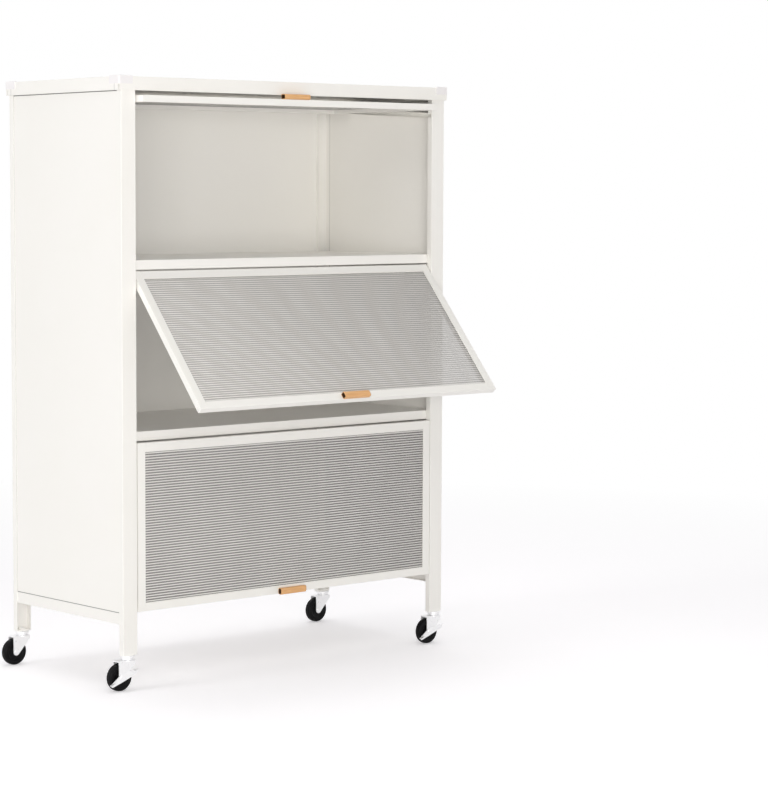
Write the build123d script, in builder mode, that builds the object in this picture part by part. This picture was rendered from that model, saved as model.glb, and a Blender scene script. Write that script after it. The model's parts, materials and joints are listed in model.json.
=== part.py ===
"""A wheeled metal kitchen cabinet with three compartments, each with a flip-up slide-in door.

Millimetres. The origin is on the floor under the middle of the cabinet. +Z is up, -Y is the
front and -X is the left side. The pose is the one that it is stored in: the top door stowed
under the top, the middle door half raised, and the bottom door closed.
"""

import os
from math import atan2, cos, hypot, radians, sin

from build123d import *

os.makedirs("parts", exist_ok=True)

# Overall sizes
WIDTH = 800.0
DEPTH = 354.0
HEIGHT = 1100.0

# Sheet metal
SHEET = 1.2
PANEL_SHEET = 1.0

# Top tray: a flat plate in a folded rim, with a plastic cap on each corner
RIM_HEIGHT = 24.5
RIM_HEM = 3.6
RIM_ROUND = 0.5
RIM_JOINT = 0.2
TRAY_RECESS = 13.8
CAP_REACH = 30.0
CAP_HEIGHT = 14.7
CAP_PROUD = 1.5
CAP_INNER_SKIN = 1.2
CAP_OVER_FLOOR = 4.0
CAP_CORNER = 3.0
CAP_EDGE = 0.8

# Posts: C channels, open towards the inside of the cabinet
TRAY_OVERHANG_X = 5.0
TRAY_OVERHANG_Y = 2.0
POST_FACE = 32.0
POST_FLANGE = 12.5
POST_RETURN = 12.0
POST_BEND = 1.0
POST_BOTTOM = 66.0

# Foot plates, and the swivel casters bolted through them
FOOT_PLATE = 3.0
FOOT_DEPTH = 13.0
FOOT_CORNER = 2.0
STEM_FROM_FACE_X = 14.5
STEM_FROM_FACE_Y = 7.5
STEM_RADIUS = 3.5
STEM_TOP = 69.5
STEM_HEAD_RADIUS = 7.0
STEM_HEAD = 2.4
NUT_RADIUS = 7.0
NUT_HEIGHT = 3.0
RACE_RADIUS = 13.0
RACE_STEP_RADIUS = 10.5
RACE_HEIGHT = 3.6
RACE_ROUND = 0.8
CROWN_RADIUS = 13.0
HEAD_GAP = 0.3
WHEEL_RADIUS = 25.0
WHEEL_WIDTH = 14.0
WHEEL_SHOULDER = 3.0
WHEEL_DISH_RADIUS = 18.5
WHEEL_DISH = 1.8
WHEEL_HUB_RADIUS = 7.5
TRAIL = 19.0
AXLE_RADIUS = 3.0
AXLE_HEAD_RADIUS = 5.0
AXLE_HEAD = 1.4
FORK_SHEET = 1.5
FORK_CROWN = 2.0
FORK_CROWN_BOTTOM = 53.2
FORK_BOSS_RADIUS = 6.5
FORK_NOSE = 11.5
FORK_NOSE_BOTTOM = 49.0

# Brake levers: two arms from a hub on the axle, each with a tab bent outwards
LEVER_SHEET = 1.6
LEVER_HUB_RADIUS = 7.0
LEVER_ARMS = {
    "toe": {"length": 29.8, "angle": 16.0, "end_radius": 4.5},
    "heel": {"length": 24.9, "angle": 208.0, "end_radius": 3.2},
}
LEVER_TAB_LENGTH = 9.0
LEVER_TAB_OUT = 5.0

# Side panels and the rails under them
SIDE_BOTTOM = 140.0
SIDE_SEAM = 1.2
RAIL_HEIGHT = 21.0
RAIL_FLANGE = 12.0
BACK_FROM_REAR = 4.0

# Shelves: inverted pans with a lip all round
SHELF_LIP = 17.0
SHELF_FRONT_SET_BACK = 13.0

# Doors: a frame of hollow bars round a ribbed panel
DOOR_THICK = 12.0
DOOR_SIDE_GAP = 2.0
DOOR_GAP = 2.5
TOP_DOOR_GAP = 12.5
STILE = 17.0
TOP_RAIL = 17.0
BOTTOM_RAIL = 15.5
BAR_WALL = 1.0
BAR_ROUND = 0.6
STILE_END_BLOCK = 28.0
PANEL_THICK = 2.4
PANEL_RECESS = 2.0
PANEL_IN_GROOVE = 4.0
PANEL_SLOT_GAP = 0.2
RIB_PITCH = 4.8
RIB_WIDTH = 2.8
RIB_PROUD = 0.8
RIB_END_GAP = 0.5
HANDLE_LENGTH = 62.0
HANDLE_HEIGHT = 12.5
HANDLE_PROUD = 10.0
HANDLE_WALL = 2.0
HANDLE_ROUND = 3.0

# Pivot pins, rollers and the inclined tracks that they run in
PIN_BELOW_TOP = 18.0
PIN_RADIUS = 2.0
PIN_IN_DOOR = 11.0
PIN_OUT_OF_DOOR = 10.5
ROLLER_RADIUS = 4.0
ROLLER_LENGTH = 5.0
ROLLER_FROM_DOOR = 5.0
ROLLER_PLAY = 0.3
ROLLER_END_PLAY = 1.3
STOWED_PROUD = 19.0
STOWED_GAP = {"bottom": 1.5, "middle": 1.5, "top": 8.5}
TRACK_END = 3.5
NOTCH_HEIGHT = 6.4
NOTCH_FROM_FACE = 3.0
MIDDLE_TILT = 40.0
STOWED_TILT = 90.0

# Clearances
RUN = 0.05
BOLT_GAP = 0.1
SIDE_PLAY = 0.3
HANDLE_TO_NEXT_DOOR = 1.5
WHEEL_SIDE_GAP = 0.8

# Places worked out from the sizes above
TRAY_X = WIDTH / 2
TRAY_Y = DEPTH / 2
POST_X = TRAY_X - TRAY_OVERHANG_X
POST_Y = TRAY_Y - TRAY_OVERHANG_Y
RETURN_X = POST_X - POST_FACE
TRAY_FLOOR_TOP = HEIGHT - TRAY_RECESS
POST_TOP = TRAY_FLOOR_TOP - SHEET
PANEL_OUT_X = POST_X - SHEET
PANEL_IN_X = PANEL_OUT_X - PANEL_SHEET
PANEL_END_Y = POST_Y - SHEET
FOOT_BOTTOM = POST_BOTTOM - FOOT_PLATE
STEM_X = POST_X - STEM_FROM_FACE_X
STEM_Y = POST_Y - STEM_FROM_FACE_Y
BACK_OUT_Y = POST_Y - BACK_FROM_REAR
BACK_IN_Y = BACK_OUT_Y - PANEL_SHEET
SHELF_FRONT_Y = -POST_Y + SHELF_FRONT_SET_BACK
SHELF_END_Y = -SHELF_FRONT_Y

DOORS = ["bottom", "middle", "top"]
DOOR_X = RETURN_X - DOOR_SIDE_GAP
RIM_BOTTOM = HEIGHT - RIM_HEIGHT
DOOR_PITCH = (RIM_BOTTOM - TOP_DOOR_GAP + DOOR_GAP - SIDE_BOTTOM) / len(DOORS)
DOOR_HEIGHT = DOOR_PITCH - DOOR_GAP
HANDLE_BELOW_DOOR = DOOR_GAP - HANDLE_TO_NEXT_DOOR
DOOR_BOTTOM = {name: SIDE_BOTTOM + level * DOOR_PITCH for level, name in enumerate(DOORS)}
ROOF = {"bottom": DOOR_BOTTOM["middle"], "middle": DOOR_BOTTOM["top"], "top": RIM_BOTTOM}
PIN_Y = -POST_Y + DOOR_THICK / 2
PIN_TO_BOTTOM = DOOR_HEIGHT - PIN_BELOW_TOP
PIN_Z = {name: DOOR_BOTTOM[name] + PIN_TO_BOTTOM for name in DOORS}
STOWED_Z = {name: ROOF[name] - STOWED_GAP[name] - DOOR_THICK / 2 for name in DOORS}
TRACK_RISE = {name: STOWED_Z[name] - PIN_Z[name] for name in DOORS}
TRACK_TRAVEL_Y = PIN_TO_BOTTOM - STOWED_PROUD - DOOR_THICK / 2
TRACK_SLOPE = {name: atan2(TRACK_RISE[name], TRACK_TRAVEL_Y) for name in DOORS}
TRACK_LENGTH = {name: hypot(TRACK_RISE[name], TRACK_TRAVEL_Y) for name in DOORS}
TRACK_WEB_X = DOOR_X + ROLLER_FROM_DOOR + ROLLER_LENGTH + ROLLER_END_PLAY
SIDES = {"left": -1, "right": 1}
CORNERS = {"fl": (-1, -1), "fr": (1, -1), "rl": (-1, 1), "rr": (1, 1)}


def save(part, name):
    """Label a finished piece and write its file."""
    part.label = name
    export_step(part, f"parts/{name}.step")


def slab(x_range, y_range, z_range, mode=Mode.ADD):
    """A plain block between two corners, given as a range along each axis."""
    low, high = [[f(r) for r in (x_range, y_range, z_range)] for f in (min, max)]
    centre = [(a + b) / 2 for a, b in zip(low, high)]
    with Locations(tuple(centre)):
        Box(*[b - a for a, b in zip(low, high)], mode=mode)


# The top: a plate inside a rim of four folded bars, with a cap on each corner


def make_top_plate():
    with BuildPart() as plate:
        with BuildSketch(Plane.XY.offset(POST_TOP)):
            Rectangle(2 * (TRAY_X - RIM_HEM), 2 * (TRAY_Y - RIM_HEM))
        extrude(amount=SHEET)
    return plate.part


def folded_bar(outer, inner, across, along_x):
    """A rim bar folded from one sheet: outer wall, hem over the top and a short inner wall."""
    way = 1 if outer > inner else -1
    walls = [
        ((outer, outer - way * SHEET), (RIM_BOTTOM, HEIGHT)),
        ((outer, inner), (HEIGHT - SHEET, HEIGHT)),
        ((inner, inner + way * SHEET), (POST_TOP, HEIGHT)),
    ]
    for depth, height in walls:
        if along_x:
            slab((-across, across), depth, height)
        else:
            slab(depth, (-across, across), height)


def make_top_rim():
    inner_x = TRAY_X - RIM_HEM
    inner_y = TRAY_Y - RIM_HEM
    with BuildPart() as rim:
        for way in (-1, 1):
            folded_bar(way * TRAY_Y, way * inner_y, TRAY_X, along_x=True)
            folded_bar(way * TRAY_X, way * inner_x, inner_y - RIM_JOINT, along_x=False)
        hem = rim.edges().filter_by_position(Axis.Z, HEIGHT - RUN, HEIGHT + RUN)
        fillet(hem.filter_by(lambda edge: edge.length > RIM_HEIGHT), radius=RIM_ROUND)
    return rim.part


def make_corner_caps():
    """Four L-shaped plastic caps that clip over the hem at the tray's corners."""
    skin_x = TRAY_X - RIM_HEM - CAP_INNER_SKIN
    skin_y = TRAY_Y - RIM_HEM - CAP_INNER_SKIN
    outer_x = TRAY_X + CAP_PROUD
    outer_y = TRAY_Y + CAP_PROUD
    top = HEIGHT + CAP_PROUD
    bottom = top - CAP_HEIGHT
    with BuildPart() as caps:
        for sx, sy in CORNERS.values():
            arms = [
                ((sx * outer_x, sx * (outer_x - CAP_REACH)), (sy * outer_y, sy * skin_y)),
                ((sx * outer_x, sx * skin_x), (sy * outer_y, sy * (outer_y - CAP_REACH))),
            ]
            for arm in arms:
                slab(*arm, (bottom, top))
        corners = caps.edges().filter_by(Axis.Z)
        fillet(corners.filter_by(lambda edge: abs(edge.center().X) > TRAY_X
                                 and abs(edge.center().Y) > TRAY_Y), radius=CAP_CORNER)
        rounded = caps.edges().filter_by_position(Axis.Z, top - RUN, top + RUN)
        fillet(rounded, radius=CAP_EDGE)
        inner_x = TRAY_X - RIM_HEM
        inner_y = TRAY_Y - RIM_HEM
        for way in (-1, 1):
            slab((-TRAY_X, TRAY_X), (way * inner_y, way * TRAY_Y), (0, HEIGHT), Mode.SUBTRACT)
            slab((way * inner_x, way * TRAY_X), (-TRAY_Y, TRAY_Y), (0, HEIGHT), Mode.SUBTRACT)
        skin_bottom = TRAY_FLOOR_TOP + CAP_OVER_FLOOR
        slab((-TRAY_X, TRAY_X), (-inner_y, inner_y), (0, skin_bottom), Mode.SUBTRACT)
    return caps.part


# The posts and their feet


def make_post(sx, sy):
    """A C channel post; a front one is notched for the doors' pins."""
    with BuildPart() as post:
        with BuildSketch(Plane.XY.offset(POST_BOTTOM)) as section:
            with Locations((sx * (POST_X - POST_FACE / 2), sy * (POST_Y - SHEET / 2))):
                Rectangle(POST_FACE, SHEET)
            with Locations((sx * (POST_X - SHEET / 2), sy * (POST_Y - POST_FLANGE / 2))):
                Rectangle(SHEET, POST_FLANGE)
            with Locations((sx * (RETURN_X + SHEET / 2), sy * (POST_Y - POST_RETURN / 2))):
                Rectangle(SHEET, POST_RETURN)
            bends = [v for v in section.vertices() if abs(abs(v.Y) - POST_Y) < RUN]
            fillet(bends, radius=POST_BEND)
        extrude(amount=POST_TOP - POST_BOTTOM)
        if sy < 0:
            for pin_z in PIN_Z.values():
                notch_y = (-POST_Y + NOTCH_FROM_FACE, -POST_Y + POST_RETURN + SHEET)
                notch_z = (pin_z - NOTCH_HEIGHT / 2, pin_z + NOTCH_HEIGHT / 2)
                around = (sx * (RETURN_X - SHEET), sx * (RETURN_X + 2 * SHEET))
                slab(around, notch_y, notch_z, Mode.SUBTRACT)
    return post.part


def make_foot_plates():
    with BuildPart() as feet:
        with BuildSketch(Plane.XY.offset(FOOT_BOTTOM)) as outline:
            for sx, sy in CORNERS.values():
                with Locations((sx * (POST_X - POST_FACE / 2), sy * (POST_Y - FOOT_DEPTH / 2))):
                    Rectangle(POST_FACE, FOOT_DEPTH)
            fillet(outline.vertices(), radius=FOOT_CORNER)
            for sx, sy in CORNERS.values():
                with Locations((sx * STEM_X, sy * STEM_Y)):
                    Circle(STEM_RADIUS + BOLT_GAP, mode=Mode.SUBTRACT)
        extrude(amount=FOOT_PLATE)
    return feet.part


def turned(x, y, outline):
    """A solid turned about an upright axis at x, y, from (radius, height) points."""
    with BuildSketch(Plane(origin=(x, y, 0), x_dir=(1, 0, 0), z_dir=(0, -1, 0))) as half:
        with BuildLine():
            Polyline(*outline, close=True)
        make_face()
    revolve(half.sketch, axis=Axis((x, y, 0), (0, 0, 1)))


def make_caster_stems():
    """The bolts that the forks swivel on: a head, a shank and a stepped race under the foot."""
    head_top = FORK_CROWN_BOTTOM - HEAD_GAP
    race_bottom = FORK_CROWN_BOTTOM + FORK_CROWN + HEAD_GAP
    outline = [
        (0, head_top - STEM_HEAD),
        (STEM_HEAD_RADIUS, head_top - STEM_HEAD),
        (STEM_HEAD_RADIUS, head_top),
        (STEM_RADIUS, head_top),
        (STEM_RADIUS, race_bottom),
        (RACE_STEP_RADIUS, race_bottom),
        (RACE_STEP_RADIUS, FOOT_BOTTOM - RACE_HEIGHT),
        (RACE_RADIUS, FOOT_BOTTOM - RACE_HEIGHT),
        (RACE_RADIUS, FOOT_BOTTOM),
        (STEM_RADIUS, FOOT_BOTTOM),
        (STEM_RADIUS, STEM_TOP),
        (0, STEM_TOP),
    ]
    with BuildPart() as stems:
        for sx, sy in CORNERS.values():
            turned(sx * STEM_X, sy * STEM_Y, outline)
        round_edge = stems.edges().filter_by(GeomType.CIRCLE)
        rims = round_edge.filter_by(lambda edge: abs(edge.radius - RACE_RADIUS) < RUN)
        fillet(rims, radius=RACE_ROUND)
    return stems.part


def make_stem_nuts():
    with BuildPart() as nuts:
        with BuildSketch(Plane.XY.offset(POST_BOTTOM)):
            for sx, sy in CORNERS.values():
                with Locations((sx * STEM_X, sy * STEM_Y)):
                    RegularPolygon(NUT_RADIUS, 6)
                    Circle(STEM_RADIUS + BOLT_GAP, mode=Mode.SUBTRACT)
        extrude(amount=NUT_HEIGHT)
    return nuts.part


# The sheets that close the sides, the back and the three shelves


def make_side_panel(sx):
    with BuildPart() as panel:
        bottom = SIDE_BOTTOM + SIDE_SEAM
        slab((sx * PANEL_IN_X, sx * PANEL_OUT_X), (-PANEL_END_Y, PANEL_END_Y), (bottom, POST_TOP))
    return panel.part


def make_side_rail(sx):
    """The folded rail under a side panel, a C with its flanges turned inwards."""
    low = SIDE_BOTTOM - RAIL_HEIGHT
    inner = PANEL_OUT_X - RAIL_FLANGE
    with BuildPart() as rail:
        along = (-PANEL_END_Y, PANEL_END_Y)
        slab((sx * (PANEL_OUT_X - SHEET), sx * PANEL_OUT_X), along, (low, SIDE_BOTTOM))
        slab((sx * inner, sx * PANEL_OUT_X), along, (low, low + SHEET))
        slab((sx * inner, sx * PANEL_OUT_X), along, (SIDE_BOTTOM - SHEET, SIDE_BOTTOM))
    return rail.part


def make_back_panel():
    with BuildPart() as back:
        slab((-RETURN_X, RETURN_X), (BACK_IN_Y, BACK_OUT_Y), (SIDE_BOTTOM, POST_TOP))
    return back.part


def make_shelf(bottom):
    """An inverted pan: a plate with a lip folded down on all four sides."""
    top = bottom + SHELF_LIP
    x = PANEL_IN_X
    with BuildPart() as shelf:
        with BuildSketch(Plane.XY.offset(top - SHEET)):
            Rectangle(2 * x, 2 * SHELF_END_Y)
            with Locations((0, (SHELF_END_Y + BACK_IN_Y) / 2)):
                Rectangle(2 * (RETURN_X - SIDE_PLAY), BACK_IN_Y - SHELF_END_Y)
        extrude(amount=SHEET)
        slab((-x, x), (SHELF_FRONT_Y, SHELF_FRONT_Y + SHEET), (bottom, top))
        slab((-x, x), (SHELF_END_Y - SHEET, SHELF_END_Y), (bottom, top))
        for way in (-1, 1):
            slab((way * x, way * (x - SHEET)), (SHELF_FRONT_Y, SHELF_END_Y), (bottom, top))
        nose = shelf.edges().filter_by(Axis.X).sort_by(Axis.Y).filter_by_position(
            Axis.Z, top - RUN, top + RUN)
        fillet(nose[0], radius=POST_BEND)
    return shelf.part


def make_tracks(name):
    """A pair of folded rails on the side walls that the door's rollers climb as it slides in."""
    half = ROLLER_RADIUS + ROLLER_PLAY
    start = -half
    end = TRACK_LENGTH[name] + ROLLER_RADIUS + TRACK_END
    tip = RETURN_X + SHEET + SIDE_PLAY
    with BuildPart() as tracks:
        for sx in SIDES.values():
            side = Plane(
                origin=(sx * PANEL_IN_X, PIN_Y, PIN_Z[name]),
                x_dir=(0, cos(TRACK_SLOPE[name]), sin(TRACK_SLOPE[name])),
                z_dir=(1, 0, 0),
            )
            with BuildSketch(side):
                with Locations(((start + end) / 2, 0)):
                    Rectangle(end - start, 2 * (half + SHEET))
            extrude(amount=-sx * (PANEL_IN_X - tip))
            with BuildSketch(side.offset(-sx * SHEET)):
                with Locations(((start + end) / 2, 0)):
                    Rectangle(end - start + 2 * SHEET, 2 * half)
            extrude(amount=-sx * (PANEL_IN_X - tip), mode=Mode.SUBTRACT)
            with BuildSketch(side.offset(-sx * (PANEL_IN_X - TRACK_WEB_X))):
                with Locations(((start + end) / 2, 0)):
                    Rectangle(end - start, 2 * half)
            extrude(amount=sx * SHEET)
    return tracks.part


# The doors, each built on a plane through its pivot pins


def door_plane(name, slid, tilt):
    """A door's plane: origin between the pins, y up the door and z out of its face."""
    turn = radians(tilt)
    y = PIN_Y + slid * cos(TRACK_SLOPE[name])
    z = PIN_Z[name] + slid * sin(TRACK_SLOPE[name])
    return Plane(origin=(0, y, z), x_dir=(1, 0, 0), z_dir=(0, -cos(turn), sin(turn)))


def door_block(plane, x_range, y_range, z_range, mode=Mode.ADD):
    """A block of a door, given by ranges in the door's plane."""
    with BuildSketch(plane.offset(min(z_range))) as face:
        with Locations(((x_range[0] + x_range[1]) / 2, (y_range[0] + y_range[1]) / 2)):
            Rectangle(abs(x_range[1] - x_range[0]), abs(y_range[1] - y_range[0]))
    extrude(face.sketch, amount=abs(z_range[1] - z_range[0]), mode=mode)


def panel_z():
    """The panel's back and its front, between the ribs, out from the pins' plane."""
    front = DOOR_THICK / 2 - PANEL_RECESS
    return front - PANEL_THICK, front


def make_rail(plane, outer_y, inner_y):
    """A hollow bar between the stiles, with a slot along its inner edge for the panel."""
    half_x = DOOR_X - STILE
    way = 1 if outer_y > inner_y else -1
    back, front = panel_z()
    depth = DOOR_THICK / 2
    with BuildPart() as rail:
        door_block(plane, (-half_x, half_x), (outer_y, inner_y), (-depth, depth))
        edges = rail.edges().filter_by(Axis.X)
        fillet(edges, radius=BAR_ROUND)
        hollow_y = (outer_y - way * BAR_WALL, inner_y + way * BAR_WALL)
        hollow_z = (-depth + BAR_WALL, depth - BAR_WALL)
        door_block(plane, (-half_x, half_x), hollow_y, hollow_z, Mode.SUBTRACT)
        slot_z = (back - PANEL_SLOT_GAP, front + PANEL_SLOT_GAP)
        slot_y = (inner_y - way * BAR_WALL, inner_y + way * 2 * BAR_WALL)
        door_block(plane, (-half_x, half_x), slot_y, slot_z, Mode.SUBTRACT)
    return rail.part


def make_stile(plane, sx):
    """An upright bar, hollow but for a solid top end that carries the pivot pin."""
    top = PIN_BELOW_TOP
    bottom = -PIN_TO_BOTTOM
    inner_x = DOOR_X - STILE
    back, front = panel_z()
    depth = DOOR_THICK / 2
    with BuildPart() as stile:
        door_block(plane, (sx * DOOR_X, sx * inner_x), (bottom, top), (-depth, depth))
        edges = stile.edges().filter_by(lambda edge: edge.length > DOOR_HEIGHT - STILE)
        fillet(edges, radius=BAR_ROUND)
        hollow_x = (sx * (DOOR_X - BAR_WALL), sx * (inner_x + BAR_WALL))
        hollow_y = (bottom + BAR_WALL, top - STILE_END_BLOCK)
        hollow_z = (-depth + BAR_WALL, depth - BAR_WALL)
        door_block(plane, hollow_x, hollow_y, hollow_z, Mode.SUBTRACT)
        slot_x = (sx * (inner_x - BAR_WALL), sx * (inner_x + PANEL_IN_GROOVE + PANEL_SLOT_GAP))
        slot_y = (bottom + BOTTOM_RAIL - PANEL_IN_GROOVE - PANEL_SLOT_GAP,
                  top - TOP_RAIL + PANEL_IN_GROOVE + PANEL_SLOT_GAP)
        slot_z = (back - PANEL_SLOT_GAP, front + PANEL_SLOT_GAP)
        door_block(plane, slot_x, slot_y, slot_z, Mode.SUBTRACT)
        bore = Plane(origin=plane.origin + Vector(sx * DOOR_X, 0, 0), z_dir=(-sx, 0, 0))
        with BuildSketch(bore):
            Circle(PIN_RADIUS + RUN)
        extrude(amount=PIN_IN_DOOR + BOLT_GAP, mode=Mode.SUBTRACT)
    return stile.part


def make_panel(plane):
    """The clear ribbed sheet, with level ribs across its front."""
    half_x = DOOR_X - STILE
    low = -PIN_TO_BOTTOM + BOTTOM_RAIL
    high = PIN_BELOW_TOP - TOP_RAIL
    back, front = panel_z()
    ribs = int((high - low) / RIB_PITCH)
    grip = PANEL_IN_GROOVE
    with BuildPart() as panel:
        door_block(plane, (-half_x - grip, half_x + grip), (low - grip, high + grip), (back, front))
        with BuildSketch(plane.offset(front)):
            with Locations((0, (low + high) / 2)):
                with GridLocations(0, RIB_PITCH, 1, ribs):
                    Rectangle(2 * (half_x - RIB_END_GAP), RIB_WIDTH)
        extrude(amount=RIB_PROUD)
    return panel.part


def make_handle(plane):
    """A hollow pull on the bottom rail, open at both ends and a little below the door's edge."""
    across = (-HANDLE_LENGTH / 2, HANDLE_LENGTH / 2)
    low = -PIN_TO_BOTTOM - HANDLE_BELOW_DOOR
    high = low + HANDLE_HEIGHT
    back = DOOR_THICK / 2
    front = back + HANDLE_PROUD
    wall = HANDLE_WALL
    outwards = Axis(plane.origin, plane.z_dir)
    with BuildPart() as handle:
        door_block(plane, across, (low, high), (back, front))
        fillet(handle.edges().filter_by(Axis.X).sort_by(outwards)[-2:], radius=HANDLE_ROUND)
        hollow = (low + wall, high - wall)
        door_block(plane, across, hollow, (back + wall, front - wall), Mode.SUBTRACT)
    return handle.part


def make_pins(plane):
    with BuildPart() as pins:
        for sx in SIDES.values():
            start = plane.origin + Vector(sx * (DOOR_X - PIN_IN_DOOR), 0, 0)
            with BuildSketch(Plane(origin=start, z_dir=(sx, 0, 0))):
                Circle(PIN_RADIUS)
            extrude(amount=PIN_IN_DOOR + PIN_OUT_OF_DOOR)
    return pins.part


def make_rollers(plane):
    with BuildPart() as rollers:
        for sx in SIDES.values():
            start = plane.origin + Vector(sx * (DOOR_X + ROLLER_FROM_DOOR), 0, 0)
            with BuildSketch(Plane(origin=start, z_dir=(sx, 0, 0))):
                Circle(ROLLER_RADIUS)
                Circle(PIN_RADIUS + RUN, mode=Mode.SUBTRACT)
            extrude(amount=ROLLER_LENGTH)
    return rollers.part


def make_door(name, slid, tilt):
    """All the pieces of one door, in the pose that slid and tilt give."""
    plane = door_plane(name, slid, tilt)
    save(make_rail(plane, PIN_BELOW_TOP, PIN_BELOW_TOP - TOP_RAIL), f"door_{name}_top_rail")
    save(make_rail(plane, -PIN_TO_BOTTOM, -PIN_TO_BOTTOM + BOTTOM_RAIL), f"door_{name}_bottom_rail")
    for side, sx in SIDES.items():
        save(make_stile(plane, sx), f"door_{name}_{side}_stile")
    save(make_panel(plane), f"door_{name}_panel")
    save(make_handle(plane), f"door_{name}_handle")
    save(make_pins(plane), f"door_{name}_pins")
    save(make_rollers(plane), f"door_{name}_rollers")


# The casters: a fork that swivels on the stem, an axle, a wheel, and a brake lever in front


def make_fork(x, y):
    """A crown over the wheel and a leg down each side of it to the axle."""
    inner_y = WHEEL_WIDTH / 2 + WHEEL_SIDE_GAP
    outer_y = inner_y + FORK_SHEET
    crown_top = FORK_CROWN_BOTTOM + FORK_CROWN
    axle = (-TRAIL, WHEEL_RADIUS)
    heel = -TRAIL - FORK_BOSS_RADIUS
    with BuildPart() as fork:
        with BuildSketch(Plane.XY.offset(FORK_CROWN_BOTTOM)):
            with Locations((x, y)):
                Circle(CROWN_RADIUS)
            with Locations((x + (heel + FORK_NOSE) / 2, y)):
                Rectangle(FORK_NOSE - heel, 2 * outer_y)
            with Locations((x, y)):
                Circle(STEM_RADIUS + RUN, mode=Mode.SUBTRACT)
        extrude(amount=FORK_CROWN)
        for way in (-1, 1):
            leg_plane = Plane(origin=(x, y + way * outer_y, 0), x_dir=(1, 0, 0), z_dir=(0, -1, 0))
            with BuildSketch(leg_plane):
                with BuildSketch(mode=Mode.PRIVATE) as corners:
                    with Locations(axle):
                        Circle(FORK_BOSS_RADIUS)
                    with BuildLine():
                        Polyline(
                            (heel, axle[1]),
                            (heel, crown_top),
                            (FORK_NOSE, crown_top),
                            (FORK_NOSE, FORK_NOSE_BOTTOM),
                            close=True,
                        )
                    make_face()
                make_hull(corners.edges())
                with Locations(axle):
                    Circle(AXLE_RADIUS + RUN, mode=Mode.SUBTRACT)
            extrude(amount=way * FORK_SHEET)
    return fork.part


def make_axle(x, y):
    """A rivet through the fork's legs and the brake lever, with a domed head at each end."""
    outer_y = WHEEL_WIDTH / 2 + WHEEL_SIDE_GAP + FORK_SHEET
    lever = SIDE_PLAY + LEVER_SHEET if y < 0 else 0
    with BuildPart() as axle:
        for way, reach in ((-1, outer_y + lever + RUN), (1, outer_y + RUN)):
            shank = Plane(origin=(x - TRAIL, y, WHEEL_RADIUS), z_dir=(0, way, 0))
            with BuildSketch(shank):
                Circle(AXLE_RADIUS)
            extrude(amount=reach)
            with BuildSketch(shank.offset(reach)):
                Circle(AXLE_HEAD_RADIUS)
            extrude(amount=AXLE_HEAD)
            crown = axle.faces().sort_by(Axis.Y)[-1 if way > 0 else 0]
            fillet(crown.edges(), radius=AXLE_HEAD / 2)
    return axle.part


def make_wheel(x, y):
    """A solid wheel with rounded shoulders, dished sides and a raised hub."""
    half = WHEEL_WIDTH / 2
    hub = half + WHEEL_SIDE_GAP / 2
    bore = AXLE_RADIUS + RUN
    shoulder = WHEEL_SHOULDER
    centre = Plane(origin=(x - TRAIL, y, WHEEL_RADIUS), x_dir=(0, 1, 0), z_dir=(1, 0, 0))
    with BuildPart() as wheel:
        with BuildSketch(centre):
            with BuildLine():
                Polyline(
                    (-half, WHEEL_RADIUS),
                    (half, WHEEL_RADIUS),
                    (half, WHEEL_DISH_RADIUS),
                    (half - WHEEL_DISH, WHEEL_DISH_RADIUS - WHEEL_DISH),
                    (half - WHEEL_DISH, WHEEL_HUB_RADIUS),
                    (hub, WHEEL_HUB_RADIUS),
                    (hub, bore),
                    (-hub, bore),
                    (-hub, WHEEL_HUB_RADIUS),
                    (WHEEL_DISH - half, WHEEL_HUB_RADIUS),
                    (WHEEL_DISH - half, WHEEL_DISH_RADIUS - WHEEL_DISH),
                    (-half, WHEEL_DISH_RADIUS),
                    close=True,
                )
            make_face()
        revolve(axis=Axis((x - TRAIL, y, WHEEL_RADIUS), (0, 1, 0)))
        tread = wheel.edges().filter_by(GeomType.CIRCLE)
        outer = tread.filter_by(lambda edge: abs(edge.radius - WHEEL_RADIUS) < RUN)
        fillet(outer, radius=shoulder)
    return wheel.part


def make_brake_lever(x, y):
    """A plate outside the front leg, free on the axle, with a tab to press at each end."""
    inner_y = WHEEL_WIDTH / 2 + WHEEL_SIDE_GAP + FORK_SHEET + SIDE_PLAY
    face = Plane(origin=(x - TRAIL, y - inner_y, WHEEL_RADIUS), x_dir=(1, 0, 0), z_dir=(0, -1, 0))
    with BuildPart() as lever:
        for arm in LEVER_ARMS.values():
            turn = radians(arm["angle"])
            end = Vector(arm["length"] * cos(turn), arm["length"] * sin(turn))
            with BuildSketch(face):
                with BuildSketch(mode=Mode.PRIVATE) as rounds:
                    Circle(LEVER_HUB_RADIUS)
                    with Locations(end):
                        Circle(arm["end_radius"])
                make_hull(rounds.edges())
            extrude(amount=LEVER_SHEET)
            upwards = arm["end_radius"] - LEVER_SHEET / 2
            side = 1 if cos(turn) > 0 else -1
            tab = end + Vector(-sin(turn), cos(turn)) * (side * upwards)
            with BuildSketch(face):
                with Locations(tab):
                    Rectangle(LEVER_TAB_LENGTH, LEVER_SHEET, rotation=arm["angle"])
            extrude(amount=LEVER_SHEET + LEVER_TAB_OUT)
        with BuildSketch(face):
            Circle(AXLE_RADIUS + RUN)
        extrude(amount=LEVER_SHEET, mode=Mode.SUBTRACT)
    return lever.part


# Write every piece

save(make_top_plate(), "top_plate")
save(make_top_rim(), "top_rim")
save(make_corner_caps(), "corner_caps")
save(make_foot_plates(), "foot_plates")
save(make_caster_stems(), "caster_stems")
save(make_stem_nuts(), "stem_nuts")
save(make_back_panel(), "back_panel")

for side, sx in SIDES.items():
    save(make_side_panel(sx), f"side_panel_{side}")
    save(make_side_rail(sx), f"side_rail_{side}")

for name in DOORS:
    save(make_shelf(DOOR_BOTTOM[name]), f"shelf_under_{name}_door")
    save(make_tracks(name), f"tracks_{name}")

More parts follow.
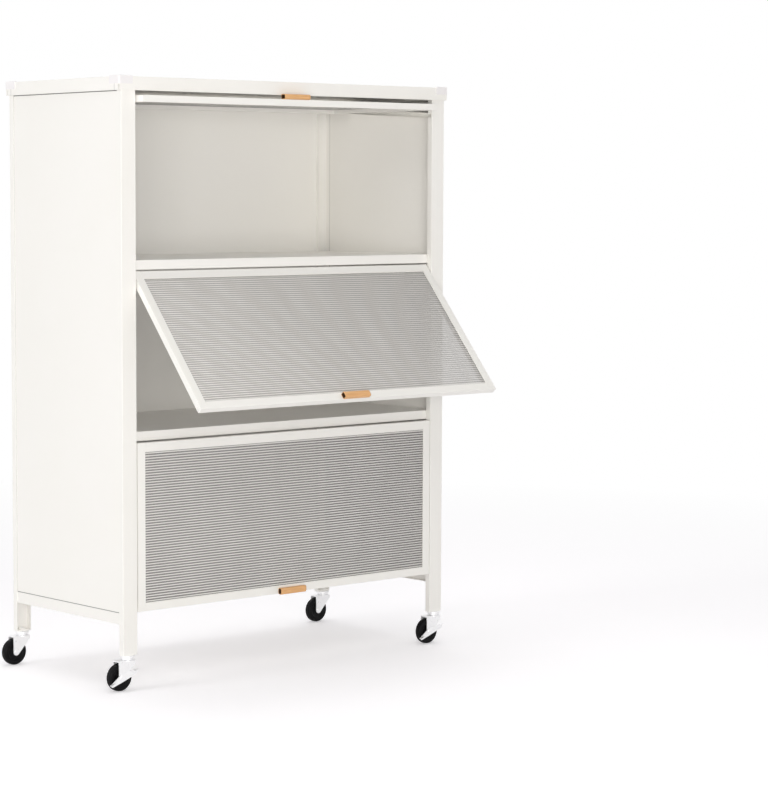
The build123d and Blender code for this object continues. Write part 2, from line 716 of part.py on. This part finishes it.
for corner, (sx, sy) in CORNERS.items():
    x, y = sx * STEM_X, sy * STEM_Y
    save(make_post(sx, sy), f"post_{corner}")
    save(make_fork(x, y), f"caster_{corner}_fork")
    save(make_axle(x, y), f"caster_{corner}_axle")
    save(make_wheel(x, y), f"caster_{corner}_wheel")
    if sy < 0:
        save(make_brake_lever(x, y), f"caster_{corner}_brake_lever")

make_door("bottom", 0, 0)
make_door("middle", 0, MIDDLE_TILT)
make_door("top", TRACK_LENGTH["top"], STOWED_TILT)
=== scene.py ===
"""A tall metal storage cabinet on casters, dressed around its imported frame.

Shapes are in metres in the cabinet's own frame: x along its width, y to the back, z up.
"""

import json
import math

import bpy
import numpy as np
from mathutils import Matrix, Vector


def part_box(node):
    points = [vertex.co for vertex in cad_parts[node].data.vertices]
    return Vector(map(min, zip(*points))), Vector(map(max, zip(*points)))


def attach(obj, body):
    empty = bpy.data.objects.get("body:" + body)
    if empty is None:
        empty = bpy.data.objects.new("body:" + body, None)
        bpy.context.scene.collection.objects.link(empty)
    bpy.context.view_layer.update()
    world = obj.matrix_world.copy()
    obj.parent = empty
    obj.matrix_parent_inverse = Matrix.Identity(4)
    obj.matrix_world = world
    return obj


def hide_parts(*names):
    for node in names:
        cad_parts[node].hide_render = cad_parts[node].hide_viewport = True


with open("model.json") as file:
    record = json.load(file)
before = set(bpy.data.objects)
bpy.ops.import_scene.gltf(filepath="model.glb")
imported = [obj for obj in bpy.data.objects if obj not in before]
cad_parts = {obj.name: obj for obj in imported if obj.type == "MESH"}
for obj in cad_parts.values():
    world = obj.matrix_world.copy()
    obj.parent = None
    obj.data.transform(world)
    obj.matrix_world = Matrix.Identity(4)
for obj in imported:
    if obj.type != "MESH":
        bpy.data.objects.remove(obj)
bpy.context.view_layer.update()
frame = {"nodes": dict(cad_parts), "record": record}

MM = 0.001
PHOTO_WIDTH, PHOTO_HEIGHT = 768, 802

# The doors as the photograph has them: how many degrees each is tipped out of the upright
DOOR_TILT = {"bottom": 0, "middle": 40, "top": 90}
CASTERS = ("fl", "fr", "rl", "rr")


# Shader maths


class Value:
    """A number that varies over a surface. Arithmetic on it adds Math nodes."""

    def __init__(self, finish, socket):
        self.finish = finish
        self.socket = socket

    def maths(self, operation, *terms):
        """One Math node over some terms, in the order that its operation takes them."""
        links = dict(enumerate(terms))
        return self.finish.node("ShaderNodeMath", {"operation": operation}, links)

    def __add__(self, other):
        return self.maths("ADD", self, other)

    __radd__ = __add__

    def __sub__(self, other):
        return self.maths("SUBTRACT", self, other)

    def __rsub__(self, other):
        return self.maths("SUBTRACT", other, self)

    def __mul__(self, other):
        return self.maths("MULTIPLY", self, other)

    __rmul__ = __mul__

    def __truediv__(self, other):
        return self.maths("DIVIDE", self, other)

    def __rtruediv__(self, other):
        return self.maths("DIVIDE", other, self)

    def __pow__(self, other):
        return self.maths("POWER", self, other)

    def __rpow__(self, other):
        return self.maths("POWER", other, self)

    def sine(self):
        return self.maths("SINE", self)

    def size(self):
        """The value without its sign."""
        return self.maths("ABSOLUTE", self)

    def above(self, limit):
        """1 where the value is over a limit, 0 elsewhere."""
        return self.maths("GREATER_THAN", self, limit)

    def below(self, limit):
        """1 where the value is under a limit, 0 elsewhere."""
        return self.maths("LESS_THAN", self, limit)

    def most(self, other):
        """The larger of the value and another."""
        return self.maths("MAXIMUM", self, other)


class Finish:
    """A procedural material round one Principled shader, or the nodes of a world."""

    def __init__(self, owner):
        owner.use_nodes = True
        self.owner = owner
        self.tree = owner.node_tree
        self.tree.nodes.clear()

    def node(self, kind, settings=None, inputs=None, output=0):
        """Adds a node: its settings first, then the values or links of its sockets."""
        made = self.tree.nodes.new(kind)
        for name, value in (settings or {}).items():
            if name == "stops":
                self.set_stops(made.color_ramp, value)
            else:
                setattr(made, name, value)
        for name, value in (inputs or {}).items():
            if isinstance(value, Value):
                self.tree.links.new(value.socket, made.inputs[name])
            else:
                made.inputs[name].default_value = value
        return Value(self, made.outputs[output]) if made.outputs else made

    @staticmethod
    def set_stops(ramp, stops):
        """Gives a colour ramp its stops, as pairs of a place and a grey level."""
        while len(ramp.elements) < len(stops):
            ramp.elements.new(1.0)
        for element, (place, level) in zip(ramp.elements, stops):
            element.position = place
            element.color = (level, level, level, 1)

    def ramp(self, value, *stops):
        """The value sent through a ramp of grey levels."""
        return self.node("ShaderNodeValToRGB", {"stops": stops}, {"Fac": value})

    def mix(self, share, first, second):
        """Two colours mixed by a share from 0 to 1."""
        settings = {"data_type": "RGBA", "blend_type": "MIX"}
        return self.node("ShaderNodeMix", settings, {0: share, 6: first, 7: second}, 2)

    def place(self):
        """Where a point is on the object, in metres."""
        return self.node("ShaderNodeTexCoord", output="Object")

    def stretched(self, scale):
        """The object's coordinates with each axis scaled."""
        links = {"Vector": self.place(), "Scale": scale}
        return self.node("ShaderNodeMapping", None, links)

    def part(self, axis):
        """One of the object's coordinates, in metres."""
        return self.node("ShaderNodeSeparateXYZ", None, {"Vector": self.place()}, axis)

    @staticmethod
    def band(value, low, high):
        """1 where a value lies between two limits, 0 elsewhere."""
        return value.above(low) * value.below(high)

    def noise(self, scale, detail, roughness=0.5, vector=None):
        """Cloudy noise from 0 to 1, with features about 1 / scale metres wide."""
        links = {"Vector": vector or self.place(), "Scale": scale, "Detail": detail,
                 "Roughness": roughness}
        return self.node("ShaderNodeTexNoise", {"noise_dimensions": "3D"}, links)

    def bump(self, height, depth, strength):
        """A Bump node whose height of 1 stands for a depth in metres."""
        links = {"Height": height, "Distance": depth, "Strength": strength}
        return self.node("ShaderNodeBump", None, links)

    def shade(self, **sockets):
        """Ends the material in a Principled shader with these sockets."""
        names = {name.replace("_", " "): value for name, value in sockets.items()}
        shader = self.node("ShaderNodeBsdfPrincipled", None, names)
        self.node("ShaderNodeOutputMaterial", None, {"Surface": shader})
        return self.owner


def new_finish(name):
    """An empty material, for a finish to be built in."""
    return Finish(bpy.data.materials.new(name))


def linear(red, green, blue):
    """A colour as seen on a screen, in 0 to 255, turned into the light it stands for."""
    seen = np.array((red, green, blue)) / 255
    light = np.where(seen > 0.04045, ((seen + 0.055) / 1.055) ** 2.4, seen / 12.92)
    return (*(float(part) for part in light), 1.0)


# Finishes

# Painted shade along the seams of the two sides, in metres: shade in the gap over each
# side rail, the rim's shadow painted just under it, and shade where a post's flange covers the
# side panel's edge. It runs only on faces farther out than SIDE_OUT and nearer the middle of
# the depth than POST_EDGE. The rail's and the rim's lie between two heights, and a post's
# between two depths, from a height up.
SIDE_OUT, POST_EDGE = 392.5 * MM, 162.5 * MM
RAIL_GAP = 139.9 * MM, 141.3 * MM
RIM_SHADOW = 1073.9 * MM, 1075.5 * MM
POST_LINE, POST_LINE_FROM = (161.6 * MM, 162.5 * MM), 141 * MM
# The colour of the painted seam shade, and how much of it the rail gap, the rim's painted shadow
# and the post line take
SEAM_SHADE_COLOUR = linear(60, 58, 55)
RAIL_GAP_SHARE, RIM_SHADOW_SHARE, POST_LINE_SHARE = 0.7, 0.8, 0.5


def powder_coat(name, colour, shade, gloss, grain):
    """Baked powder paint: a fine orange peel, faint clouding and a little uneven gloss.

    Shade is painted into the seams of the two sides: over each side rail, a painted shadow
    under the rim, and down each side panel where a post's flange covers its edge.
    """
    finish = new_finish(name)
    peel = finish.noise(grain, detail=3.0, roughness=0.55)
    cloud = finish.noise(5.0, detail=3.0)
    base = finish.mix(finish.ramp(cloud, (0.3, 0.0), (0.75, 1.0)), shade, colour)
    across, back, height = (finish.part(axis) for axis in "XYZ")
    side = across.size().above(SIDE_OUT) * back.size().below(POST_EDGE)
    rail_gap = finish.band(height, *RAIL_GAP)
    rim_shadow = finish.band(height, *RIM_SHADOW)
    post_line = finish.band(back.size(), *POST_LINE) * height.above(POST_LINE_FROM)
    seams = (rail_gap * RAIL_GAP_SHARE).most(rim_shadow * RIM_SHADOW_SHARE)
    seams = seams.most(post_line * POST_LINE_SHARE)
    # Painted shade: the side seams are darkened towards the shade colour
    base = finish.mix(side * seams, base, SEAM_SHADE_COLOUR)
    rough = gloss + 0.07 * (finish.noise(38.0, detail=4.0) - 0.5)
    normal = finish.bump(peel, depth=0.12 * MM, strength=0.5)
    return finish.shade(Base_Color=base, Roughness=rough, Normal=normal)


def ribbed_sheet():
    """Clear frosted sheet with painted light and shade in stripes, one to a rib, and a faint
    haze drawn out across them.

    The stripes are a sine wave along the second texture coordinate, painted highlight and shade
    of the ribs. They are bright and milky in the grooves between the ribs, and dark and clearer
    along their crowns.
    """
    finish = new_finish("ribbed_sheet")
    uv = finish.node("ShaderNodeTexCoord", output="UV")
    along = finish.node("ShaderNodeSeparateXYZ", None, {"Vector": uv}, "Y")
    # Painted light and shade of the ribs, one stripe to a rib; the sheet's opacity follows it
    painted_rib_light = (along * (2 * math.pi)).sine() * 0.5 + 0.5
    haze = finish.noise(30.0, detail=3.0, vector=finish.stretched((1.0, 0.3, 0.3)))
    light = painted_rib_light ** 0.6 * 0.92 + haze * 0.08
    base = finish.mix(light, linear(48, 45, 43), linear(255, 252, 249))
    solid = 0.18 + 0.68 * light
    return finish.shade(Base_Color=base, Alpha=solid, Roughness=0.32, IOR=1.35)


def coated_pull():
    """Tan coated metal with faint drawn lines along the pull, and painted shade inside its bore.

    The first texture coordinate is 0 on the outside and 1 on the inside.
    """
    finish = new_finish("tan_pull")
    uv = finish.node("ShaderNodeTexCoord", output="UV")
    inside = finish.node("ShaderNodeSeparateXYZ", None, {"Vector": uv}, "X")
    lines = finish.noise(60.0, detail=5.0, roughness=0.6,
                         vector=finish.stretched((0.6, 18.0, 18.0)))
    base = finish.mix(finish.ramp(lines, (0.3, 0.0), (0.7, 1.0)),
                      linear(214, 157, 101), linear(241, 191, 134))
    # Painted shade: the inside of the bore is coloured dark brown
    base = finish.mix(inside, base, linear(74, 48, 28))
    rough = 0.3 + 0.2 * lines
    return finish.shade(Base_Color=base, Roughness=rough, Metallic=0.15,
                        Normal=finish.bump(lines, depth=0.06 * MM, strength=0.6))


def moulded(name, colour, shade, gloss):
    """Moulded plastic with a fine spark-eroded grain and faint flow clouds."""
    finish = new_finish(name)
    cloud = finish.noise(45.0, detail=3.0)
    base = finish.mix(cloud, shade, colour)
    rough = gloss + 0.1 * (finish.noise(160.0, detail=3.0) - 0.5)
    grain = finish.noise(1400.0, detail=2.0)
    return finish.shade(Base_Color=base, Roughness=rough,
                        Normal=finish.bump(grain, depth=0.05 * MM, strength=0.6))


def bright_metal(name, colour, shade, gloss, scale, metal=1.0):
    """Plated steel: small zinc flowers, rubbed lines and uneven gloss."""
    finish = new_finish(name)
    cells = finish.node("ShaderNodeTexVoronoi", {"feature": "F1"},
                        {"Vector": finish.place(), "Scale": scale}, "Color")
    bloom = finish.node("ShaderNodeSeparateColor", None, {"Color": cells}, "Red")
    rubbed = finish.noise(220.0, detail=4.0, roughness=0.6,
                          vector=finish.stretched((1.0, 1.0, 9.0)))
    base = finish.mix(bloom * 0.6 + rubbed * 0.4, shade, colour)
    rough = gloss + 0.12 * (bloom - 0.5) + 0.1 * (rubbed - 0.5)
    return finish.shade(Base_Color=base, Roughness=rough, Metallic=metal,
                        Normal=finish.bump(rubbed, depth=0.03 * MM, strength=0.4))


def wheel_rubber():
    """Black moulded wheel with a fine grain, and duller, paler patches of dust."""
    finish = new_finish("black_tyre")
    patches = finish.noise(120.0, detail=5.0, roughness=0.65)
    dust = finish.ramp(patches, (0.45, 0.0), (0.8, 1.0))
    base = finish.mix(dust * 0.2, linear(7, 6, 8), linear(36, 35, 37))
    rough = 0.4 + 0.25 * dust
    grain = finish.noise(900.0, detail=2.0)
    return finish.shade(Base_Color=base, Roughness=rough, Specular_IOR_Level=0.12,
                        Normal=finish.bump(grain, depth=0.05 * MM, strength=0.6))


WARM_WHITE = linear(252, 250, 246)
FINISHES = {
    "body_paint": powder_coat("body_coat", WARM_WHITE, linear(250, 248, 243),
                              gloss=0.42, grain=800.0),
    "door_frame_paint": powder_coat("door_coat", WARM_WHITE, linear(249, 247, 242),
                                    gloss=0.36, grain=1000.0),
    "track_paint": powder_coat("track_coat", linear(248, 246, 241), linear(245, 243, 237),
                               gloss=0.45, grain=800.0),
    "ribbed_panel": ribbed_sheet(),
    "handle_plastic": coated_pull(),
    "cap_plastic": moulded("cap_plastic", linear(250, 247, 247), linear(246, 243, 244),
                           gloss=0.45),
    "zinc": bright_metal("zinc_plate", linear(253, 253, 254), linear(247, 247, 249),
                         gloss=0.34, scale=260.0, metal=0.45),
    "pin_steel": bright_metal("turned_steel", linear(205, 205, 207), linear(182, 182, 185),
                              gloss=0.3, scale=700.0),
    "roller_plastic": moulded("roller_nylon", linear(240, 239, 235), linear(228, 227, 222),
                              gloss=0.4),
    "wheel_black": wheel_rubber(),
}

node_slot = {part["node"]: part["material_slot"] for part in frame["record"]["subparts"]}
for name, node in frame["nodes"].items():
    node.data.materials.clear()
    node.data.materials.append(FINISHES[node_slot[name]])


# Surfaces


def grid_faces(rings, around):
    """Four corners for each cell between one ring of points and the next."""
    ring, point = np.meshgrid(np.arange(rings - 1), np.arange(around), indexing="ij")
    following = (point + 1) % around
    low, high = ring * around, (ring + 1) * around
    cells = np.stack((low + point, low + following, high + following, high + point), -1)
    return cells.reshape(-1, 4)


def add_piece(name, points, faces, body, slot, uv=None):
    """Puts worked-out points and faces into a piece that rides on a body."""
    mesh = bpy.data.meshes.new(name)
    mesh.from_pydata(points.reshape(-1, 3).tolist(), [], faces)
    if uv is not None:
        corners = np.zeros(len(mesh.loops), np.int32)
        mesh.loops.foreach_get("vertex_index", corners)
        layer = mesh.uv_layers.new(name="own_place")
        layer.data.foreach_set("uv", uv.reshape(-1, 2)[corners].astype(np.float32).ravel())
    mesh.materials.append(FINISHES[slot])
    mesh.validate()
    piece = bpy.data.objects.new(name, mesh)
    bpy.context.scene.collection.objects.link(piece)
    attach(piece, body)
    return piece


def ring_piece(name, points, body, slot, uv):
    """A skin over rings of points (ring, point, xyz), closed by a face at each end."""
    rings, around = points.shape[:2]
    faces = grid_faces(rings, around).tolist()
    start = list(range(around))
    end = [(rings - 1) * around + point for point in start]
    faces += [start[::-1], end]
    return add_piece(name, points, faces, body, slot, uv)


def tube_piece(name, points, body, slot, uv=None):
    """A skin over rings of points whose last ring joins the first."""
    rings, around = points.shape[:2]
    faces = grid_faces(rings, around)
    start, spot = (rings - 1) * around, np.arange(around)
    following = (spot + 1) % around
    seam = np.stack((start + spot, start + following, following, spot), -1)
    return add_piece(name, points, np.vstack((faces, seam)).tolist(), body, slot, uv)


def smooth(piece, angle):
    """Smooth shading, except across edges sharper than an angle in degrees."""
    mesh = piece.data
    mesh.polygons.foreach_set("use_smooth", np.ones(len(mesh.polygons), bool))
    mesh.set_sharp_from_angle(angle=math.radians(angle))


class DoorPlane:
    """A door's own axes: x across, up towards its pinned end and out of its face."""

    def __init__(self, name):
        low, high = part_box(f"door_{name}_pins")
        turn = math.radians(DOOR_TILT[name])
        self.pivot = np.array((0, (low.y + high.y) / 2, (low.z + high.z) / 2))
        self.up = np.array((0, math.sin(turn), math.cos(turn)))
        self.out = np.array((0, -math.cos(turn), math.sin(turn)))

    def points(self, x, up, out):
        """Places arrays of door coordinates in the cabinet's frame."""
        x, up, out = np.broadcast_arrays(x, up, out)
        across = x[..., None] * np.array((1.0, 0, 0))
        return self.pivot + across + up[..., None] * self.up + out[..., None] * self.out


# A panel's sizes, in metres from its door's pivot line: the opening that it fills, the sheet's
# back and front, how far the frame's grooves hold it, and its ribs, each in RIB_STEPS strips
HALF_OPENING = 344 * MM
OPENING_LOW, OPENING_HIGH = -272.5 * MM, 1 * MM
PANEL_BACK, PANEL_FRONT = 1.6 * MM, 4 * MM
PANEL_GRIP = 4 * MM
RIB_PITCH, RIB_PROUD = 4.8 * MM, 0.8 * MM
RIB_STEPS, RIB_FADE = 8, 0.5 * MM

# A pull's sizes, in metres, and the door's lower edge and face, which it stands on
DOOR_LOWER_EDGE, DOOR_FACE = -288 * MM, 6 * MM
PULL_HALF_LENGTH, PULL_HALF_HEIGHT, PULL_HALF_DEPTH = 31 * MM, 6.25 * MM, 5 * MM
PULL_BELOW_DOOR, PULL_END_ROUND, PULL_SIDES = 1 * MM, 0.5 * MM, 48
GROOVE_PLACE, GROOVE_SIZE = 26 * MM, 0.35 * MM

# Edges sharper than these, in degrees, stay sharp
DOOR_PIECE_EDGE, WHEEL_EDGE = 50, 40


def ribbed_panel(door):
    """The sheet's front rises and falls as a rounded wave up the door, and its back is flat.

    Front height = the sheet's front + a rib's height times the square root of the
    absolute sine of half a turn a rib, which gives round crowns and sharp grooves.
    The wave fades out over the last half millimetre before the frame. The second texture
    coordinate grows by one a rib, and is about a quarter past a whole number in a groove.
    """
    plane = DoorPlane(door)
    ribs = int((OPENING_HIGH - OPENING_LOW) / RIB_PITCH)
    middle = (OPENING_HIGH + OPENING_LOW) / 2
    run = np.linspace(-ribs / 2, ribs / 2, ribs * RIB_STEPS + 1)
    crown = np.sqrt(np.abs(np.sin(np.pi * (run + ribs / 2))))
    up = np.concatenate(([OPENING_LOW - PANEL_GRIP], middle + run * RIB_PITCH,
                         [OPENING_HIGH + PANEL_GRIP]))
    crown = np.concatenate(([0], crown, [0]))
    fade = HALF_OPENING - RIB_FADE
    x = np.array((-HALF_OPENING - PANEL_GRIP, -HALF_OPENING, -fade, fade, HALF_OPENING,
                  HALF_OPENING + PANEL_GRIP))
    height = np.array((0, 0, 1, 1, 0, 0))
    front = PANEL_FRONT + RIB_PROUD * height[:, None] * crown[None, :]
    back = np.full_like(front, PANEL_BACK)
    out = np.concatenate((front, back[:, ::-1]), axis=1)
    around = np.concatenate((up, up[::-1]))
    points = plane.points(x[:, None], around[None, :], out)
    ribs_up = (around - OPENING_LOW) / RIB_PITCH - 0.25
    uv = np.stack(np.broadcast_arrays(x[:, None] / RIB_PITCH, ribs_up[None, :]), -1)
    piece = ring_piece(f"ribbed_sheet_{door}", points, f"{door}_door", "ribbed_panel", uv)
    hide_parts(f"door_{door}_panel")
    smooth(piece, DOOR_PIECE_EDGE)


def door_pull(door):
    """A hollow pull, open at both ends: a soft-cornered section carried along the door.

    The section is a superellipse of the fourth power, whose half height and half depth
    shrink by an inset.
    The inset is nothing along the outside, apart from rounded ends and a fine groove near
    one end, and the wall's thickness on the way back along the inside. The groove's depth
    falls off as the exponential of minus its squared distance.
    """
    plane = DoorPlane(door)
    middle = DOOR_LOWER_EDGE - PULL_BELOW_DOOR + PULL_HALF_HEIGHT
    depth = DOOR_FACE + PULL_HALF_DEPTH
    # Places along the outside, closer together at the ends and over the groove
    outside = np.concatenate((-PULL_HALF_LENGTH + np.array((0, 0.15, 0.5)) * MM,
                              np.linspace(-26, 24, 11) * MM,
                              np.linspace(25, 27, 11) * MM,
                              PULL_HALF_LENGTH - np.array((0.5, 0.15, 0)) * MM))
    from_end = PULL_HALF_LENGTH - np.abs(outside)
    rounded = PULL_END_ROUND * (1 - np.clip(from_end / PULL_END_ROUND, 0, 1)) ** 2
    groove = GROOVE_SIZE * np.exp(-(((outside - GROOVE_PLACE) / GROOVE_SIZE) ** 2))
    inside = np.array((1, 0.98, -0.98, -1)) * PULL_HALF_LENGTH
    wall = np.array((1.7, 2.0, 2.0, 1.7)) * MM
    x = np.concatenate((outside, inside))
    inset = np.concatenate((rounded + groove, wall))
    angle = np.linspace(0, 2 * np.pi, PULL_SIDES, endpoint=False)
    up = np.sign(np.cos(angle)) * np.abs(np.cos(angle)) ** 0.5
    out = np.sign(np.sin(angle)) * np.abs(np.sin(angle)) ** 0.5
    points = plane.points(x[:, None], middle + (PULL_HALF_HEIGHT - inset)[:, None] * up,
                          depth + (PULL_HALF_DEPTH - inset)[:, None] * out)
    within = np.concatenate((np.zeros_like(outside), np.ones_like(inside)))
    uv = np.stack(np.broadcast_arrays(within[:, None], angle[None, :]), -1)
    piece = tube_piece(f"pull_{door}", points, f"{door}_door", "handle_plastic", uv)
    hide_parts(f"door_{door}_handle")
    smooth(piece, DOOR_PIECE_EDGE)


# One half of a wheel's profile from its bore out to the tread: each point's radius and its
# distance from the wheel's middle plane, in millimetres
WHEEL_PROFILE = [
    (3.2, 7.35), (6.0, 7.4), (6.9, 7.0), (7.1, 5.8), (8.0, 5.4), (11.5, 5.1), (15.2, 5.4),
    (16.0, 6.0), (16.6, 6.8), (17.4, 7.0), (19.0, 7.0), (19.6, 6.75), (20.0, 6.75),
    (20.6, 7.0), (22.0, 6.9), (23.3, 6.3), (24.2, 5.3), (24.75, 4.0), (24.97, 2.6),
    (25.0, 1.5), (24.8, 1.2), (24.8, 0.8), (25.0, 0.5)]
WEB_RADIUS, WEB_HALF_WIDTH = 11.6 * MM, 3.8 * MM
SPOKES, SPOKE_RISE, SPOKE_POWER = 5, 0.9 * MM, 14
WHEEL_SIDES = 80


def caster_wheel(corner):
    """A moulded wheel: round tyre, stepped rim, dished web with low spokes, raised hub.

    The half profile runs from the bore out over one side and is mirrored for the other.
    The web's five spokes rise as a high power of the absolute cosine of five half turns,
    and fade to nothing at the web's two edges as a square root.
    """
    low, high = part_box(f"caster_{corner}_wheel")
    centre = [(a + b) / 2 for a, b in zip(low, high)]
    other_half = [(radius, -along) for radius, along in WHEEL_PROFILE[::-1]]
    radius, along = (np.array(WHEEL_PROFILE + other_half) * MM).T
    turn = np.linspace(0, 2 * np.pi, WHEEL_SIDES, endpoint=False)
    web = np.clip(1 - np.abs(radius - WEB_RADIUS) / WEB_HALF_WIDTH, 0, 1) ** 0.5
    spokes = np.abs(np.cos(SPOKES / 2 * turn)) ** SPOKE_POWER
    rise = along[:, None] + SPOKE_RISE * (np.sign(along) * web)[:, None] * spokes
    points = np.array(centre) + np.stack(
        (radius[:, None] * np.cos(turn), rise, -radius[:, None] * np.sin(turn)), -1)
    piece = tube_piece(f"wheel_{corner}", points, f"caster_{corner}_rolling", "wheel_black")
    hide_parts(f"caster_{corner}_wheel")
    smooth(piece, WHEEL_EDGE)


for door in DOOR_TILT:
    ribbed_panel(door)
    door_pull(door)
for corner in CASTERS:
    caster_wheel(corner)


# The stage

# In metres: the floor's rings, and where it starts to turn white and is white. A colour ramp
# reads 0 to 1, so it is given the distance in parts of RAMP_REACH.
FLOOR_RADII, FLOOR_SIDES = (0.01, 3.0, 9.0, 30.0), 96
PALE_TO, WHITE_FROM, RAMP_REACH = 1.1, 3.0, 10.0


def floor_piece():
    """A wide pale floor: rings of points round the origin, with a face in the innermost."""
    radius = np.array(FLOOR_RADII)
    turn = np.linspace(0, 2 * np.pi, FLOOR_SIDES, endpoint=False)
    points = np.stack((radius[:, None] * np.cos(turn), radius[:, None] * np.sin(turn),
                       np.zeros((len(radius), FLOOR_SIDES))), -1)
    mesh = bpy.data.meshes.new("floor")
    rings = grid_faces(len(radius), FLOOR_SIDES)[:, ::-1]
    faces = rings.tolist() + [list(range(FLOOR_SIDES))]
    mesh.from_pydata(points.reshape(-1, 3).tolist(), [], faces)
    floor = bpy.data.objects.new("floor", mesh)
    bpy.context.scene.collection.objects.link(floor)
    mesh.materials.append(floor_finish())


def floor_finish():
    """Pale floor under the cabinet; farther off, plain white to the camera and reflections.

    To the camera its glow lifts the pale colour close to white and leaves the shadow in it.
    """
    finish = new_finish("pale_floor")
    shown = shown_rays(finish)
    cloud = finish.noise(3.0, detail=3.0)
    pale = finish.mix(cloud, (0.95, 0.935, 0.955, 1), (0.97, 0.955, 0.975, 1))
    glow = finish.mix(shown, (0, 0, 0, 1), (0.315, 0.312, 0.315, 1))
    lit = finish.node("ShaderNodeBsdfPrincipled", None,
                      {"Base Color": finish.mix(shown, (0.93, 0.92, 0.93, 1), pale),
                       "Roughness": 0.8, "Emission Color": glow, "Emission Strength": 1.0})
    white = finish.node("ShaderNodeEmission", None, {"Color": (1, 1, 1, 1), "Strength": 1.0})
    away = finish.node("ShaderNodeVectorMath", {"operation": "LENGTH"}, {0: finish.place()}, 1)
    stops = (PALE_TO / RAMP_REACH, 0.0), (WHITE_FROM / RAMP_REACH, 1.0)
    far = finish.ramp(away / RAMP_REACH, *stops) * shown
    ground = finish.node("ShaderNodeMixShader", None, {0: far, 1: lit, 2: white})
    finish.node("ShaderNodeOutputMaterial", None, {"Surface": ground})
    return finish.owner


def shown_rays(finish):
    """1 for the rays that the camera, gloss and clear things send out, 0 for light."""
    path = [finish.node("ShaderNodeLightPath", output=name)
            for name in ("Is Camera Ray", "Is Glossy Ray", "Is Transmission Ray")]
    return path[0].most(path[1]).most(path[2])


# The point that the lamps are turned to, in metres, and how bright the room is as light
LAMP_AIM = (0, 0, 0.6)
ROOM_LEVEL = 0.38

# Each lamp's place and size in metres, its power in watts and its colour
NEUTRAL, WARM_LIGHT, COOL_LIGHT = (1, 1, 1), (1, 0.985, 0.955), (0.98, 0.99, 1)
LAMPS = {
    "front_softbox": ((-3.0, -4.2, 0.75), (2.8, 1.3), 99, WARM_LIGHT),
    "top_softbox": ((-1.2, -2.6, 3.2), (1.6, 1.6), 16, WARM_LIGHT),
    "left_softbox": ((-4.6, 0.5, 2.0), (1.4, 1.4), 43, COOL_LIGHT),
    "rear_softbox": ((3.0, 2.6, 3.4), (2.0, 2.0), 9, NEUTRAL),
    "ceiling_softbox": ((0.3, 0.6, 4.6), (2.4, 2.4), 36, NEUTRAL),
}


def soft_lamp(name, place, size, power, colour):
    """A rectangular lamp turned towards the cabinet's middle."""
    lamp = bpy.data.lights.new(name, "AREA")
    lamp.shape, lamp.size, lamp.size_y = "RECTANGLE", *size
    lamp.energy, lamp.color = power, colour
    holder = bpy.data.objects.new(name, lamp)
    bpy.context.scene.collection.objects.link(holder)
    holder.location = place
    to_aim = Vector(LAMP_AIM) - Vector(place)
    holder.rotation_euler = to_aim.to_track_quat("-Z", "Y").to_euler()


def room_light(level):
    """An even pale room: white to the camera and in reflections, dimmer as light."""
    world = bpy.data.worlds.new("pale_room")
    bpy.context.scene.world = world
    room = Finish(world)
    strength = shown_rays(room) * (1 - level) + level
    glow = room.node("ShaderNodeBackground", None, {"Color": (1, 1, 1, 1), "Strength": strength})
    room.node("ShaderNodeOutputWorld", None, {"Surface": glow})


def photo_camera():
    """A camera where the photograph's vertical and level lines put it.

    The lens and the picture's centre are in pixels, the place in metres and the turn to
    the right and the dip below level in degrees.
    """
    lens_pixels, centre = 2516.46, (262, 401)
    place, turned, dipped = (-3.06684, -3.76951, 0.8898), 39.8114, 4.6739
    camera = bpy.data.cameras.new("photo_camera")
    long_side = max(PHOTO_WIDTH, PHOTO_HEIGHT)
    camera.sensor_width = 36
    camera.lens = lens_pixels * camera.sensor_width / long_side
    camera.shift_x = (PHOTO_WIDTH / 2 - centre[0]) / long_side
    camera.shift_y = (centre[1] - PHOTO_HEIGHT / 2) / long_side
    holder = bpy.data.objects.new("photo_camera", camera)
    bpy.context.scene.collection.objects.link(holder)
    holder.location = place
    holder.rotation_euler = (math.radians(90 - dipped), 0, math.radians(-turned))
    bpy.context.scene.camera = holder


floor_piece()
room_light(ROOM_LEVEL)
for name, (place, size, power, colour) in LAMPS.items():
    soft_lamp(name, place, size, power, colour)
photo_camera()

view = bpy.context.scene.view_settings
view.view_transform = "Standard"
